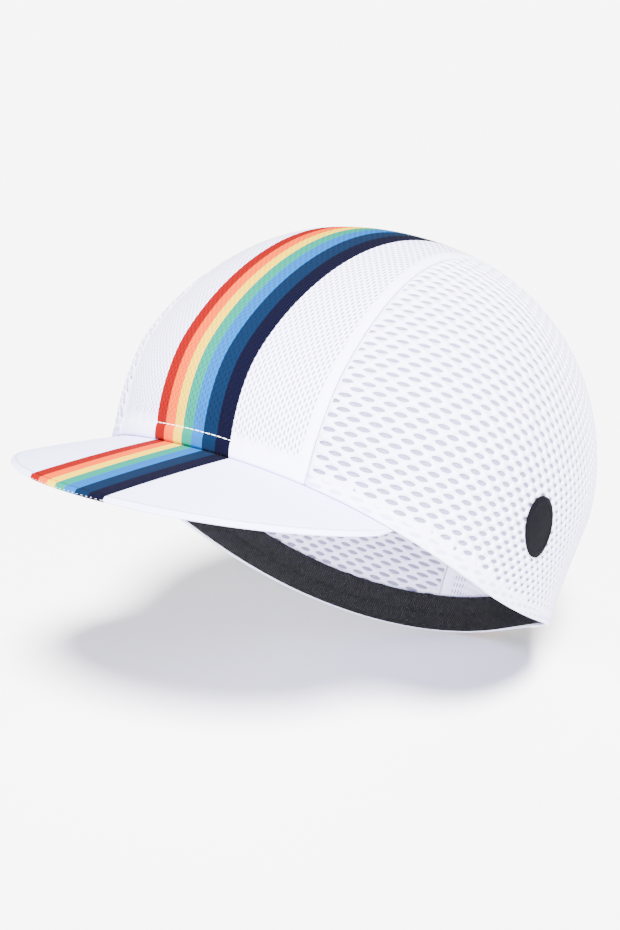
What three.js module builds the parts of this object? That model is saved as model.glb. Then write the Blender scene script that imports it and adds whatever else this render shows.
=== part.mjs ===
// A cycling cap: three-panel crown, short peak, elastic band and an oval patch.
// Millimetres. Front of the cap is -Y and the wearer's left is +X. The origin is the
// middle of the head opening, and the whole cap leans back as a head tipped up holds it.

import * as THREE from 'three';
import { mergeVertices } from 'three/addons/utils/BufferGeometryUtils.js';

const { cos, sin, abs, min, max, sqrt, atan2, hypot, PI } = Math;
const rad = THREE.MathUtils.degToRad;
const lerp = THREE.MathUtils.lerp;

// How far the head opening leans back from level, degrees
const leanBack = 29.6;

// Outline of the crown seen along the head: lengths from the middle of the opening, how
// much fuller the front is than the back, and how far its curve departs from an ellipse's
const frontLength = 84.9;
const backLength = 110.5;
const crownHalfWidth = 81.2;
const frontFullness = 0.196;
const outlinePower = 1.061;
const outlineSoftness = 0.02;

// Heights of the crown above the middle of the opening, and how it closes over the top
const shoulderHeight = 40.9;
const domeHeight = 72.1;
const domeRound = 0.769;
const domeFull = 1.236;
const domeLean = 0.088;

// Width that is left level with the middle of the opening, as a share of the widest
const drawIn = { front: 0.831, side: 0.99, back: 1.045 };

// The rim rises and falls in waves round the head: each wave's turns, the height that both
// sides share, and the height that the soft cloth rises on the left and sags on the right
const rimWaves = [
  { turns: 1, height: 8.5, sway: 4.6 },
  { turns: 2, height: 3.3, sway: -4.6 },
  { turns: 3, height: -2.1, sway: 2.1 },
];

// Half width of the centre panel at the front rim, at the top and at the back rim, and the
// power of its widening between them
const panelFrontHalf = 51.8;
const panelTopHalf = 30.5;
const panelBackHalf = 25;
const panelTaper = 1.6;

// Cloth, hems and the play that two sewn pieces keep
const clothThickness = 1.2;
const hemThickness = 1.8;
const frontHem = 5.6;
const rimHem = 4.5;
const play = 0.3;

// Peak
const peakHalfAngle = 55.4;
const peakLength = 45.5;
const peakDrop = 19.1;
const peakSpread = 0.119;
const peakPlanPower = 0.945;
const peakDropPower = 0.953;
const peakThickness = 2.2;
const peakCamber = 0.4;
const peakCorner = 0.8;

// Elastic band inside the rim, with a crease along its middle
const bandHeight = 13.6;
const bandThickness = 1.6;
const bandCrease = 0.7;
const bandLift = 0.5;
const bandPlay = 0.5;

// Oval patch on the left panel: its size, where it sits round the head, its height above
// the rim and how far its long axis slants down to the back, as an angle below zero
const badgeWidth = 25.5;
const badgeHeight = 18;
const badgeThickness = 0.5;
const badgeAngle = 97.4;
const badgeRise = 28.5;
const badgeLean = -30;

// Steps of the faceted surfaces
const panelRows = 40;
const panelColumns = 12;
const sideColumns = 36;
const sideRows = 11;
const bandSteps = 84;
const peakSteps = 36;
const badgeSteps = 24;

// Inner point that every part of the crown is seen from, as a share of the shoulder's height
const heart = new THREE.Vector3(0, 0, 0.4 * shoulderHeight);

// A sine or cosine raised to a power with its sign kept, softened where it crosses zero
function raised(value, power) {
  return value * ((value ** 2 + outlineSoftness) / (1 + outlineSoftness)) ** ((power - 1) / 2);
}

// Widest outline of the crown, angle 0 at the front and 90 degrees at the left
function outline(angle) {
  const along = cos(angle) > 0 ? frontLength : backLength;
  const across = crownHalfWidth * (1 + frontFullness * cos(angle));
  return {
    x: across * raised(sin(angle), outlinePower),
    y: -along * raised(cos(angle), outlinePower),
  };
}

// Height of the rim at an angle
function rimHeight(angle) {
  return rimWaves.reduce((sum, { turns, height, sway }) => (
    sum + height * cos(turns * angle) + sway * sin(turns * angle)
  ), 0);
}

// Share of the widest outline that is left level with the middle of the opening
function levelShare(angle) {
  const end = cos(angle) > 0 ? drawIn.front : drawIn.back;
  return end * cos(angle) ** 2 + drawIn.side * sin(angle) ** 2;
}

// Share of the widest outline at a height: below the shoulder the wall draws in, and above
// it the dome closes
function shareAt(angle, height) {
  if (height < shoulderHeight) {
    return 1 - (1 - levelShare(angle)) * (1 - height / shoulderHeight) ** 2;
  }
  const rise = (height - shoulderHeight) / domeHeight;
  if (rise > 1) {
    return 1 - rise;
  }
  const up = rise ** (1 / domeFull);
  return sqrt(1 - up ** 2) ** domeRound;
}

// Point of the outer surface at an angle and a height
function wallPoint(angle, height) {
  const edge = outline(angle);
  const share = shareAt(angle, height);
  const lean = domeLean * (height - shoulderHeight);
  return new THREE.Vector3(edge.x * share, edge.y * share + lean, height);
}

function rimPoint(angle) {
  return wallPoint(angle, rimHeight(angle));
}

// Angle whose outline point lies in the direction of x and y
function angleOf(x, y) {
  const target = atan2(abs(x), -y);
  let low = 0;
  let high = PI;
  for (let step = 0; step < 32; step += 1) {
    const middle = (low + high) / 2;
    const edge = outline(middle);
    if (atan2(edge.x, -edge.y) < target) {
      low = middle;
    } else {
      high = middle;
    }
  }
  return ((low + high) / 2) * (x < 0 ? -1 : 1);
}

// Below 0 inside the crown, above 0 outside
function outside(point) {
  const y = point.y - domeLean * (point.z - shoulderHeight);
  const angle = angleOf(point.x, y);
  const edge = outline(angle);
  return hypot(point.x, y) / hypot(edge.x, edge.y) - shareAt(angle, point.z);
}

// Outward direction of the surface at a point on it
function outward(point) {
  const reach = 0.05;
  const axes = ['x', 'y', 'z'];
  const slope = new THREE.Vector3();
  for (const axis of axes) {
    const before = point.clone();
    const after = point.clone();
    before[axis] -= reach;
    after[axis] += reach;
    slope[axis] = outside(after) - outside(before);
  }
  return slope.normalize();
}

// Where a path that starts inside the crown leaves it
function surfaceOn(path) {
  let low = 0;
  let high = 3 * backLength;
  for (let step = 0; step < 44; step += 1) {
    const middle = (low + high) / 2;
    if (outside(path(middle)) < 0) {
      low = middle;
    } else {
      high = middle;
    }
  }
  return path((low + high) / 2);
}

// Half width of the centre panel at a place along the cap
function seamAt(y) {
  const end = y < 0 ? panelFrontHalf : panelBackHalf;
  const place = min(1, abs(y) / (y < 0 ? frontLength : backLength));
  return lerp(panelTopHalf, end, place ** panelTaper);
}

// Angle where the rim meets the line that runs at a share of the panel's half width
function rimAngle(share, shift, back) {
  const side = share < 0 ? -1 : 1;
  let low = back ? PI : 0;
  let high = PI / 2;
  for (let step = 0; step < 40; step += 1) {
    const middle = (low + high) / 2;
    const point = rimPoint(side * middle);
    if (side * point.x < abs(share) * (seamAt(point.y) + shift)) {
      low = middle;
    } else {
      high = middle;
    }
  }
  return (side * (low + high)) / 2;
}

// Elevation of a point about the heart, from the front round over the top to the back
function turnOf(point) {
  const turn = atan2(point.z - heart.z, heart.y - point.y);
  return turn < -PI / 2 ? turn + 2 * PI : turn;
}

// Point of the crown on the line that runs at a share of the panel's half width
function linePoint(share, shift, turn) {
  return surfaceOn((reach) => {
    const y = heart.y - reach * cos(turn);
    return new THREE.Vector3(share * (seamAt(y) + shift), y, heart.z + reach * sin(turn));
  });
}

// Cloth thickness at a height above the hem's edge
function thicknessAt(height, hem) {
  return height <= hem ? hemThickness : clothThickness;
}

// Closed solid from triangles of points, faces turned outward
function solid(triangles) {
  const positions = triangles.flat().flatMap((point) => point.toArray());
  const soup = new THREE.BufferGeometry();
  soup.setAttribute('position', new THREE.Float32BufferAttribute(positions, 3));
  const merged = mergeVertices(soup, 1e-4);
  const index = [];
  for (let at = 0; at < merged.index.count; at += 3) {
    const corners = [0, 1, 2].map((step) => merged.index.getX(at + step));
    if (new Set(corners).size === 3) {
      index.push(...corners);
    }
  }
  const place = merged.attributes.position;
  const corner = (vertex) => new THREE.Vector3().fromBufferAttribute(place, vertex);
  let volume = 0;
  for (let at = 0; at < index.length; at += 3) {
    const [a, b, c] = [0, 1, 2].map((step) => corner(index[at + step]));
    volume += a.dot(b.cross(c));
  }
  merged.setIndex(volume < 0 ? index.reverse() : index);
  merged.computeVertexNormals();
  return merged;
}

// Two triangles of a four-cornered face
function quad(a, b, c, d) {
  return [[a, b, c], [a, c, d]];
}

// Solid between two sheets of points with the same rows and columns
function sheetSolid(outer, inner) {
  const rows = outer.length - 1;
  const columns = outer[0].length - 1;
  const faces = [];
  for (let row = 0; row < rows; row += 1) {
    for (let column = 0; column < columns; column += 1) {
      const corners = [[row, column], [row, column + 1], [row + 1, column + 1], [row + 1, column]];
      const top = corners.map(([i, j]) => outer[i][j]);
      const under = corners.map(([i, j]) => inner[i][j]);
      faces.push(...quad(...top));
      faces.push(...quad(...under).map((face) => [...face].reverse()));
    }
  }
  const wall = (i, j, k, l) => quad(outer[k][l], outer[i][j], inner[i][j], inner[k][l]);
  for (let column = 0; column < columns; column += 1) {
    faces.push(...wall(0, column, 0, column + 1));
    faces.push(...wall(rows, column + 1, rows, column));
  }
  for (let row = 0; row < rows; row += 1) {
    faces.push(...wall(row + 1, 0, row, 0));
    faces.push(...wall(row, columns, row + 1, columns));
  }
  return solid(faces);
}

// Closed ring through equal loops of points
function ringSolid(loops) {
  const faces = [];
  for (let turn = 0; turn < loops.length; turn += 1) {
    const here = loops[turn];
    const next = loops[(turn + 1) % loops.length];
    for (let side = 0; side < here.length; side += 1) {
      const after = (side + 1) % here.length;
      faces.push(...quad(here[side], here[after], next[after], next[side]));
    }
  }
  return solid(faces);
}

// Places along a strip from 0 to 1: the hem at each hemmed end, even steps between
function hemmedSteps(steps, startHem, endHem) {
  const places = [0, startHem / 2, startHem];
  const last = steps - (endHem ? 2 : 0);
  for (let step = 3; step <= last; step += 1) {
    places.push(lerp(startHem, 1 - endHem, (step - 2) / (steps - 2 - (endHem ? 2 : 0))));
  }
  if (endHem) {
    places.push(1 - endHem / 2, 1);
  }
  return places;
}

// Centre panel: rows run from the front rim over the top to the back rim
function centrePanel() {
  const lines = [];
  for (let column = 0; column <= panelColumns; column += 1) {
    const share = (2 * column) / panelColumns - 1;
    const shift = -play / 2;
    const front = rimPoint(rimAngle(share, shift, false));
    const back = rimPoint(rimAngle(share, shift, true));
    const start = turnOf(front);
    const end = turnOf(back);
    const length = front.distanceTo(heart) * (end - start);
    lines.push(hemmedSteps(panelRows, frontHem / length, rimHem / length).map((place) => {
      const onRim = place === 0 || place === 1;
      const rim = place === 0 ? front : back;
      const point = onRim ? rim : linePoint(share, shift, lerp(start, end, place));
      const thin = place > frontHem / length + 0.001 && place < 1 - rimHem / length - 0.001;
      return { point, thickness: thin ? clothThickness : hemThickness };
    }));
  }
  const outer = lines.map((line) => line.map((spot) => spot.point));
  const inner = lines.map((line) => line.map((spot) => inset(spot.point, spot.thickness)));
  return sheetSolid(outer, inner);
}

// Point set inward from the surface
function inset(point, depth) {
  return point.clone().addScaledVector(outward(point), -depth);
}

// Side panel: columns run from the rim up to the seam, and both ends close to a corner
function sidePanel(side) {
  const shift = play / 2;
  const firstAngle = rimAngle(side, shift, false);
  const lastAngle = rimAngle(side, shift, true);
  const firstTurn = turnOf(rimPoint(firstAngle));
  const lastTurn = turnOf(rimPoint(lastAngle));
  const outer = [];
  const inner = [];
  for (let column = 0; column <= sideColumns; column += 1) {
    const place = column / sideColumns;
    const rim = rimPoint(lerp(firstAngle, lastAngle, place));
    const corner = column === 0 || column === sideColumns;
    const seam = corner ? rim : linePoint(side, shift, lerp(firstTurn, lastTurn, place));
    const low = rim.clone().sub(heart);
    const high = seam.clone().sub(heart);
    const spread = corner ? 0 : low.angleTo(high);
    const length = max(spread * low.length(), play);
    const line = [];
    for (let row = 0; row <= sideRows; row += 1) {
      const hemPlace = (rimHem * min(row, 2)) / 2 / length;
      const even = lerp(min(1, rimHem / length), 1, max(0, (row - 2) / (sideRows - 2)));
      const share = min(row < 2 ? hemPlace : even, row / sideRows + max(0, 1 - length / rimHem));
      line.push({ share: row === sideRows ? 1 : min(share, 1), height: share * length });
    }
    const points = line.map(({ share }) => {
      if (corner || share === 0) {
        return rim;
      }
      if (share === 1) {
        return seam;
      }
      const way = low.clone().multiplyScalar(sin((1 - share) * spread) / low.length());
      way.addScaledVector(high, sin(share * spread) / high.length()).normalize();
      return surfaceOn((reach) => heart.clone().addScaledVector(way, reach));
    });
    const depths = line.map(({ height }) => thicknessAt(height - 0.01, rimHem));
    inner.push(points.map((point, row) => inset(point, depths[row])));
    outer.push(points);
  }
  return sheetSolid(outer, inner);
}

// Direction down the wall at the rim
function downAt(angle) {
  const height = rimHeight(angle);
  return wallPoint(angle, height).sub(wallPoint(angle, height + 1)).normalize();
}

// Outer edge of the peak, angle -90 to 90 degrees from its right corner to its left one
function peakEdge(angle) {
  const side = rad(peakHalfAngle) * (sin(angle) < 0 ? -1 : 1);
  const corner = rimPoint(side);
  const length = corner.y - rimPoint(0).y + peakLength;
  const forward = cos(angle);
  const edge = new THREE.Vector3(
    abs(corner.x) * sin(angle) * (1 + peakSpread * forward),
    corner.y - length * forward ** peakPlanPower,
    lerp(corner.z, -peakDrop, forward ** peakDropPower),
  );
  return edge.addScaledVector(downAt(side), peakCorner * (1 - forward));
}

// Peak: a cambered plate whose root face lies under the front rim
function peakPlate() {
  const reaches = [0, 0.08, 0.3, 0.55, 0.8, 0.96, 1];
  const upper = [];
  for (let step = 0; step <= peakSteps; step += 1) {
    const share = (2 * step) / peakSteps - 1;
    const angle = rad(peakHalfAngle) * share;
    const root = rimPoint(angle).addScaledVector(downAt(angle), play);
    const edge = peakEdge(max(-PI / 2, min(PI / 2, (PI / 2) * share)));
    upper.push(reaches.map((reach) => root.clone().lerp(edge, reach)));
  }
  const facing = upper.map((row, step) => row.map((point, place) => {
    const before = upper[max(step - 1, 0)][max(place, 1)];
    const after = upper[min(step + 1, peakSteps)][max(place, 1)];
    const along = row[reaches.length - 1].clone().sub(row[0]);
    return after.clone().sub(before).cross(along).normalize();
  }));
  const side = facing[peakSteps / 2][1].z < 0 ? -1 : 1;
  const outer = [];
  const inner = [];
  upper.forEach((row, step) => {
    const share = (2 * step) / peakSteps - 1;
    const angle = rad(peakHalfAngle) * share;
    const under = inset(rimPoint(angle), hemThickness).addScaledVector(downAt(angle), play);
    const rounded = (place) => (place === reaches.length - 1 ? peakThickness / 4 : 0);
    outer.push(row.map((point, place) => {
      const bulge = peakCamber * 4 * reaches[place] * (1 - reaches[place]) * cos((PI / 2) * share);
      return point.clone().addScaledVector(facing[step][place], side * (bulge - rounded(place)));
    }));
    inner.push(outer[step].map((point, place) => {
      const depth = peakThickness - 2 * rounded(place);
      const below = point.clone().addScaledVector(facing[step][place], -side * depth);
      return place === 0 ? under : below;
    }));
  });
  return sheetSolid(outer, inner);
}

// Elastic band: two ridges with a crease between them, all round inside the rim
function elasticBand() {
  const face = hemThickness + bandPlay;
  const section = [
    { up: 0, depth: face },
    { up: 1, depth: face },
    { up: 1, depth: face + 0.6 * bandThickness },
    { up: 0.75, depth: face + bandThickness },
    { up: 0.5, depth: face + bandThickness - bandCrease },
    { up: 0.25, depth: face + bandThickness },
    { up: 0, depth: face + 0.6 * bandThickness },
  ];
  const loops = [];
  for (let step = 0; step < bandSteps; step += 1) {
    const angle = (2 * PI * step) / bandSteps;
    loops.push(section.map(({ up, depth }) => {
      const height = rimHeight(angle) + bandLift + up * bandHeight;
      return inset(wallPoint(angle, height), depth);
    }));
  }
  return ringSolid(loops);
}

// Oval patch: a thin disc that follows the left panel
function badgeDisc() {
  const angle = rad(badgeAngle);
  const middle = wallPoint(angle, rimHeight(angle) + badgeRise);
  const facing = outward(middle);
  const level = new THREE.Vector3(0, 0, 1).cross(facing).normalize();
  level.applyAxisAngle(facing, rad(badgeLean));
  const up = facing.clone().cross(level);
  const rings = [0.4, 1];
  const spot = (share, turn, lift) => {
    const aim = middle.clone();
    aim.addScaledVector(level, (share * badgeWidth * cos(turn)) / 2);
    aim.addScaledVector(up, (share * badgeHeight * sin(turn)) / 2);
    const way = aim.sub(heart).normalize();
    const point = surfaceOn((reach) => heart.clone().addScaledVector(way, reach));
    return inset(point, -lift);
  };
  const faces = [];
  const heights = [play, play + badgeThickness];
  const centre = heights.map((lift) => spot(0, 0, lift));
  for (let step = 0; step < badgeSteps; step += 1) {
    const turns = [(2 * PI * step) / badgeSteps, (2 * PI * (step + 1)) / badgeSteps];
    const grid = heights.map((lift) => rings.map((share) => turns.map((turn) => spot(share, turn, lift))));
    const [low, high] = grid;
    faces.push([centre[1], high[0][0], high[0][1]]);
    faces.push(...quad(high[0][0], high[1][0], high[1][1], high[0][1]));
    faces.push(...quad(high[1][0], low[1][0], low[1][1], high[1][1]));
    faces.push(...quad(low[1][0], low[0][0], low[0][1], low[1][1]));
    faces.push([centre[0], low[0][1], low[0][0]]);
  }
  return solid(faces);
}

const knit = { color: 0xf3f2f8, roughness: 0.85, metalness: 0 };
const elastic = { color: 0x1c1c20, roughness: 0.9, metalness: 0 };
const patch = { color: 0x15151a, roughness: 0.5, metalness: 0 };

// Named piece with its own finish
function piece(name, geometry, finish) {
  const mesh = new THREE.Mesh(geometry, new THREE.MeshStandardMaterial(finish));
  mesh.name = name;
  return mesh;
}

const cap = new THREE.Group();
cap.add(
  piece('centre_panel', centrePanel(), knit),
  piece('side_panel_left', sidePanel(1), knit),
  piece('side_panel_right', sidePanel(-1), knit),
  piece('peak', peakPlate(), knit),
  piece('sweatband', elasticBand(), elastic),
  piece('badge', badgeDisc(), patch),
);
cap.rotation.x = -rad(leanBack);

export default cap;
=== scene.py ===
"""Cycling cap: the dressed look of its mesh crown, striped peak, elastic band and patch."""

from __future__ import annotations

import logging
import math
from collections.abc import Callable
from dataclasses import dataclass, field
from enum import Enum

import bmesh
import bpy
import numpy as np
from mathutils import Matrix, Vector
from mathutils.geometry import convex_hull_2d, delaunay_2d_cdt


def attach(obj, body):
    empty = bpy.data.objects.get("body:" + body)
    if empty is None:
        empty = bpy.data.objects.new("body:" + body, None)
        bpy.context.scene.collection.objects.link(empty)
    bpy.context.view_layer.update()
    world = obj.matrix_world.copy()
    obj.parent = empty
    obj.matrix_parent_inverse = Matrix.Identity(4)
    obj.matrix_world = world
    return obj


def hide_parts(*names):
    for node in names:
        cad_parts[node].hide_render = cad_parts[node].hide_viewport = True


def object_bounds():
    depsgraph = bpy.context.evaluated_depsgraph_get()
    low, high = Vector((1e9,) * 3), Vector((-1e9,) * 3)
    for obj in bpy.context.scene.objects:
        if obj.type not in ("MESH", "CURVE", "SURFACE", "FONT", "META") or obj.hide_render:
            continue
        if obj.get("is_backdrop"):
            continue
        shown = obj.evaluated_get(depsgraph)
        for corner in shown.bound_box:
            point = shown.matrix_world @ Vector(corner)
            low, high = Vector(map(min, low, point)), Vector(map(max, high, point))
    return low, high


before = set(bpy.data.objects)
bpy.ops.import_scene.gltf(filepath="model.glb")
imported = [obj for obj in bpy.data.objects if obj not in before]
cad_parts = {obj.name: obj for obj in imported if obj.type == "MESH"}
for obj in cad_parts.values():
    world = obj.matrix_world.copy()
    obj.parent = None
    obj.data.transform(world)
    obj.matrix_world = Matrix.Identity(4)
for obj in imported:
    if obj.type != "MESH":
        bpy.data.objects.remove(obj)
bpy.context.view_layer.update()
log = logging.getLogger("cap")

METRES = 0.001
LEFT = 1
RIGHT = -1
HALVINGS = 36


# Shape of the crown


@dataclass(frozen=True)
class RimWave:
    """One wave of the rim round the head: its height, and its sway to the left."""

    turns: int
    height: float
    sway: float


@dataclass
class Crown:
    """Surface that the head fills out, in millimetres, level with the head opening."""

    lean_back: float = 29.6
    front_length: float = 84.9
    back_length: float = 110.5
    half_width: float = 81.2
    front_fullness: float = 0.196
    outline_power: float = 1.061
    softness: float = 0.02
    shoulder: float = 40.9
    dome: float = 72.1
    dome_round: float = 0.769
    dome_full: float = 1.236
    dome_lean: float = 0.088
    draw_in_front: float = 0.831
    draw_in_side: float = 0.99
    draw_in_back: float = 1.045
    waves: tuple[RimWave, ...] = (
        RimWave(turns=1, height=8.5, sway=4.6),
        RimWave(turns=2, height=3.3, sway=-4.6),
        RimWave(turns=3, height=-2.1, sway=2.1),
    )
    panel_front: float = 51.8
    panel_top: float = 30.5
    panel_back: float = 25.0
    panel_taper: float = 1.6
    heart: np.ndarray = field(init=False)
    table_angles: np.ndarray = field(init=False)
    table_ways: np.ndarray = field(init=False)

    def __post_init__(self) -> None:
        """Work out the inner point and the table of outline directions."""
        self.heart = np.array([0.0, 0.0, 0.4 * self.shoulder])
        self.table_angles = np.linspace(0.0, math.pi, 16001)
        across, along = self.outline(self.table_angles)
        self.table_ways = np.arctan2(across, -along)

    def raised(self, value: np.ndarray, power: float) -> np.ndarray:
        """Raise to a power, keeping the sign and softening where it crosses zero."""
        soft = (value**2 + self.softness) / (1 + self.softness)
        return value * soft ** ((power - 1) / 2)

    def outline(self, angle: np.ndarray) -> tuple[np.ndarray, np.ndarray]:
        """Find the widest outline.

        Args:
            angle: Angles from the front, positive to the left.

        Returns:
            Places across and along the cap.
        """
        along = np.where(np.cos(angle) > 0, self.front_length, self.back_length)
        across = self.half_width * (1 + self.front_fullness * np.cos(angle))
        return (
            across * self.raised(np.sin(angle), self.outline_power),
            -along * self.raised(np.cos(angle), self.outline_power),
        )

    def rim_height(self, angle: np.ndarray) -> np.ndarray:
        """Find how high the rim stands.

        Args:
            angle: Angles from the front.

        Returns:
            Heights above the opening's middle.
        """
        total = np.zeros_like(angle, dtype=float)
        for wave in self.waves:
            total = total + wave.height * np.cos(wave.turns * angle)
            total = total + wave.sway * np.sin(wave.turns * angle)
        return total

    def share_at(self, angle: np.ndarray, height: np.ndarray) -> np.ndarray:
        """Find how much of the widest outline is left.

        Args:
            angle: Angles from the front.
            height: Heights above the opening's middle.

        Returns:
            Shares of the widest outline, below zero above the crown.
        """
        end = np.where(np.cos(angle) > 0, self.draw_in_front, self.draw_in_back)
        level = end * np.cos(angle) ** 2 + self.draw_in_side * np.sin(angle) ** 2
        low = 1 - (1 - level) * (1 - height / self.shoulder) ** 2
        rise = (height - self.shoulder) / self.dome
        up = np.clip(rise, 0.0, 1.0) ** (1 / self.dome_full)
        high = np.sqrt(1 - up**2) ** self.dome_round
        return np.where(height < self.shoulder, low, np.where(rise > 1, 1 - rise, high))

    def wall_point(self, angle: np.ndarray, height: np.ndarray) -> np.ndarray:
        """Find points of the outer surface.

        Args:
            angle: Angles from the front.
            height: Heights above the opening's middle.

        Returns:
            One row of x, y and z for each point.
        """
        angle, height = np.broadcast_arrays(np.asarray(angle, float), np.asarray(height, float))
        across, along = self.outline(angle)
        share = self.share_at(angle, height)
        lean = self.dome_lean * (height - self.shoulder)
        return np.stack([across * share, along * share + lean, height], axis=-1)

    def rim_point(self, angle: np.ndarray) -> np.ndarray:
        """Points of the rim at each angle."""
        return self.wall_point(angle, self.rim_height(np.asarray(angle, float)))

    def outside(self, points: np.ndarray) -> np.ndarray:
        """Tell how far points are from the crown, as a share of its outline.

        Args:
            points: One row of x, y and z for each point.

        Returns:
            Shares, below 0 inside the crown and above 0 outside it.
        """
        along = points[..., 1] - self.dome_lean * (points[..., 2] - self.shoulder)
        ways = np.arctan2(np.abs(points[..., 0]), -along)
        angle = np.interp(ways, self.table_ways, self.table_angles)
        angle = np.where(points[..., 0] < 0, -angle, angle)
        across, reach = self.outline(angle)
        size = np.hypot(points[..., 0], along) / np.hypot(across, reach)
        return size - self.share_at(angle, points[..., 2])

    def outward(self, points: np.ndarray) -> np.ndarray:
        """Find the outward direction of the surface.

        Args:
            points: Points on the surface.

        Returns:
            A unit direction at each point.
        """
        reach = 0.05
        slope = np.empty_like(points)
        for axis in range(3):
            step = np.zeros(3)
            step[axis] = reach
            slope[..., axis] = self.outside(points + step) - self.outside(points - step)
        return slope / np.linalg.norm(slope, axis=-1, keepdims=True)

    def surface_on(self, path: Callable[[np.ndarray], np.ndarray], shape: tuple[int, ...]) -> np.ndarray:
        """Find where paths that start inside the crown leave it.

        Args:
            path: Gives the point of each path at its reach.
            shape: Shape of the array of paths.

        Returns:
            The point where each path leaves.
        """
        low = np.zeros(shape)
        high = np.full(shape, 3 * self.back_length)
        for _ in range(HALVINGS):
            middle = (low + high) / 2
            inner = self.outside(path(middle)) < 0
            low = np.where(inner, middle, low)
            high = np.where(inner, high, middle)
        return path((low + high) / 2)

    def seam_at(self, along: np.ndarray) -> np.ndarray:
        """Find how wide the centre panel is.

        Args:
            along: Places along the cap, below 0 in front.

        Returns:
            Half widths of the panel.
        """
        end = np.where(along < 0, self.panel_front, self.panel_back)
        length = np.where(along < 0, self.front_length, self.back_length)
        place = np.minimum(1.0, np.abs(along) / length) ** self.panel_taper
        return self.panel_top + (end - self.panel_top) * place

    def rim_angle(self, share: np.ndarray, shift: float, back: bool) -> np.ndarray:
        """Find where the rim meets lines of the centre panel.

        Args:
            share: Share of the panel's half width that each line runs at.
            shift: Millimetres added to the half width.
            back: Whether the back rim is meant.

        Returns:
            The rim's angle at each line.
        """
        share = np.asarray(share, float)
        side = np.where(share < 0, -1.0, 1.0)
        low = np.full(share.shape, math.pi if back else 0.0)
        high = np.full(share.shape, math.pi / 2)
        for _ in range(HALVINGS):
            middle = (low + high) / 2
            point = self.rim_point(side * middle)
            inner = side * point[..., 0] < np.abs(share) * (self.seam_at(point[..., 1]) + shift)
            low = np.where(inner, middle, low)
            high = np.where(inner, high, middle)
        return side * (low + high) / 2

    def turn_of(self, points: np.ndarray) -> np.ndarray:
        """Elevation about the heart, from the front round over the top to the back."""
        turn = np.arctan2(points[..., 2] - self.heart[2], self.heart[1] - points[..., 1])
        return np.where(turn < -math.pi / 2, turn + 2 * math.pi, turn)

    def line_point(self, share: np.ndarray, shift: float, turn: np.ndarray) -> np.ndarray:
        """Find points on lines of the centre panel.

        Args:
            share: Share of the panel's half width that each line runs at.
            shift: Millimetres added to the half width.
            turn: Elevation about the heart.

        Returns:
            The crown's point on each line.
        """
        share, turn = np.broadcast_arrays(np.asarray(share, float), np.asarray(turn, float))

        def path(reach: np.ndarray) -> np.ndarray:
            """Follow each line.

            Args:
                reach: Millimetres from the heart.

            Returns:
                The point of each line there.
            """
            along = self.heart[1] - reach * np.cos(turn)
            across = share * (self.seam_at(along) + shift)
            return np.stack([across, along, self.heart[2] + reach * np.sin(turn)], axis=-1)

        return self.surface_on(path, share.shape)

    def ray_point(self, start: np.ndarray, ways: np.ndarray) -> np.ndarray:
        """Crown's point on each ray from a point inside it."""
        return self.surface_on(lambda reach: start + reach[..., None] * ways, ways.shape[:-1])

    def down_at(self, angle: np.ndarray) -> np.ndarray:
        """Find the direction down the wall at the rim.

        Args:
            angle: Angles from the front.

        Returns:
            A unit direction at each angle.
        """
        height = self.rim_height(np.asarray(angle, float))
        down = self.wall_point(angle, height) - self.wall_point(angle, height + 1)
        return down / np.linalg.norm(down, axis=-1, keepdims=True)

    def place(self, points: np.ndarray) -> np.ndarray:
        """Lean points back into the part's frame.

        Args:
            points: Points level with the head opening, in millimetres.

        Returns:
            The same points in the frame, in metres.
        """
        cos, sin = math.cos(math.radians(self.lean_back)), math.sin(math.radians(self.lean_back))
        turned = np.stack(
            [
                points[..., 0],
                points[..., 1] * cos + points[..., 2] * sin,
                points[..., 2] * cos - points[..., 1] * sin,
            ],
            axis=-1,
        )
        return turned * METRES


# Shader maths and finishes


def smooth(value: np.ndarray, low: float, high: float) -> np.ndarray:
    """Smooth step from 0 at low to 1 at high."""
    place = np.clip((value - low) / (high - low), 0.0, 1.0)
    return place * place * (3 - 2 * place)


def bell(value: np.ndarray, middle: float, spread: float) -> np.ndarray:
    """Smooth hump, 1 at its middle and near 0 past twice its spread."""
    return np.exp(-(((value - middle) / spread) ** 2))


def tint(red: float, green: float, blue: float) -> tuple[float, float, float, float]:
    """Opaque colour from its linear shares."""
    return (red, green, blue, 1.0)


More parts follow.
